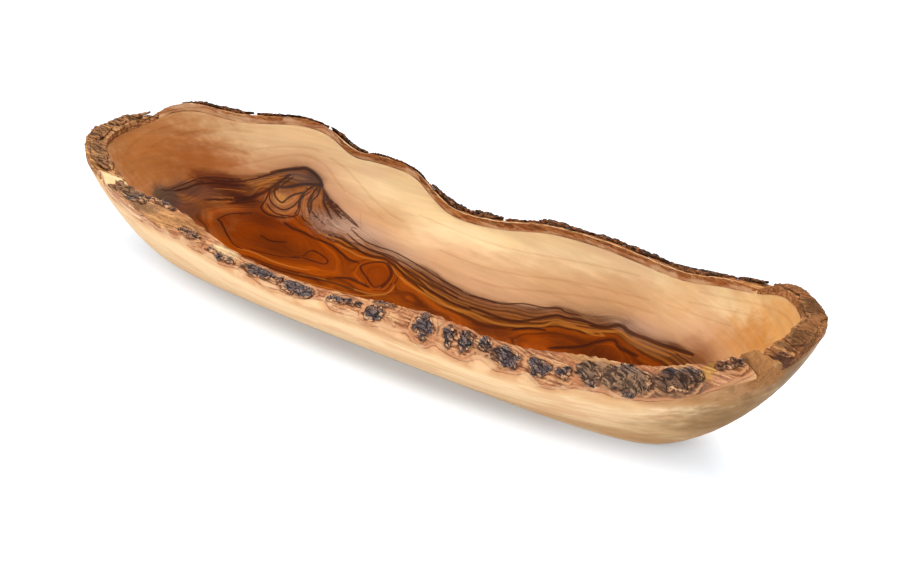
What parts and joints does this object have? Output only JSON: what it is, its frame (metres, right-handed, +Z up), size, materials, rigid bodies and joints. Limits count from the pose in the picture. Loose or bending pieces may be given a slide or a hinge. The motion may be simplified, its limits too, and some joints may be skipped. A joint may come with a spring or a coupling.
{
  "type": "dough bowl",
  "caption": "Long shallow live-edge bowl carved from a half log, with inner bark and plates of dark outer bark left round its rim.",
  "frame": {"origin": "centre of the overall box in plan, on the surface that the foot rests on", "axes": "+X along the bowl towards its tall end, -Y is the front of the rim, +Z up"},
  "size_m": [0.4262, 0.1332, 0.0899],
  "materials": {
    "wood": "oiled and smoothly sanded, pale sapwood with dark figured heartwood in the floor",
    "inner_bark": "rough, fibrous, reddish brown",
    "outer_bark": "rough, scaly, near black"
  },
  "bodies": {
    "root": {"carved_bowl": "wood", "inner_bark_left_end": "inner_bark", "inner_bark_front": "inner_bark", "inner_bark_right_end": "inner_bark", "inner_bark_back": "inner_bark", "outer_bark_left_1": "outer_bark", "outer_bark_left_2": "outer_bark", "outer_bark_left_3": "outer_bark", "outer_bark_front_1": "outer_bark", "outer_bark_front_2": "outer_bark", "outer_bark_front_3": "outer_bark", "outer_bark_front_4": "outer_bark", "outer_bark_front_5": "outer_bark", "outer_bark_front_6": "outer_bark", "outer_bark_front_7": "outer_bark", "outer_bark_front_8": "outer_bark", "outer_bark_front_9": "outer_bark", "outer_bark_front_10": "outer_bark", "outer_bark_front_11": "outer_bark", "outer_bark_front_12": "outer_bark", "outer_bark_front_13": "outer_bark", "outer_bark_front_14": "outer_bark", "outer_bark_front_15": "outer_bark", "outer_bark_front_16": "outer_bark", "outer_bark_front_17": "outer_bark", "outer_bark_front_18": "outer_bark", "outer_bark_front_19": "outer_bark", "outer_bark_front_20": "outer_bark", "outer_bark_right_1": "outer_bark", "outer_bark_right_2": "outer_bark", "outer_bark_right_3": "outer_bark", "outer_bark_right_4": "outer_bark", "outer_bark_back_1": "outer_bark", "outer_bark_back_2": "outer_bark", "outer_bark_back_3": "outer_bark", "outer_bark_back_4": "outer_bark", "outer_bark_back_5": "outer_bark", "outer_bark_back_6": "outer_bark", "outer_bark_back_7": "outer_bark", "outer_bark_back_8": "outer_bark", "outer_bark_back_9": "outer_bark", "outer_bark_back_10": "outer_bark", "outer_bark_back_11": "outer_bark", "outer_bark_back_12": "outer_bark"}
  },
  "joints": []
}
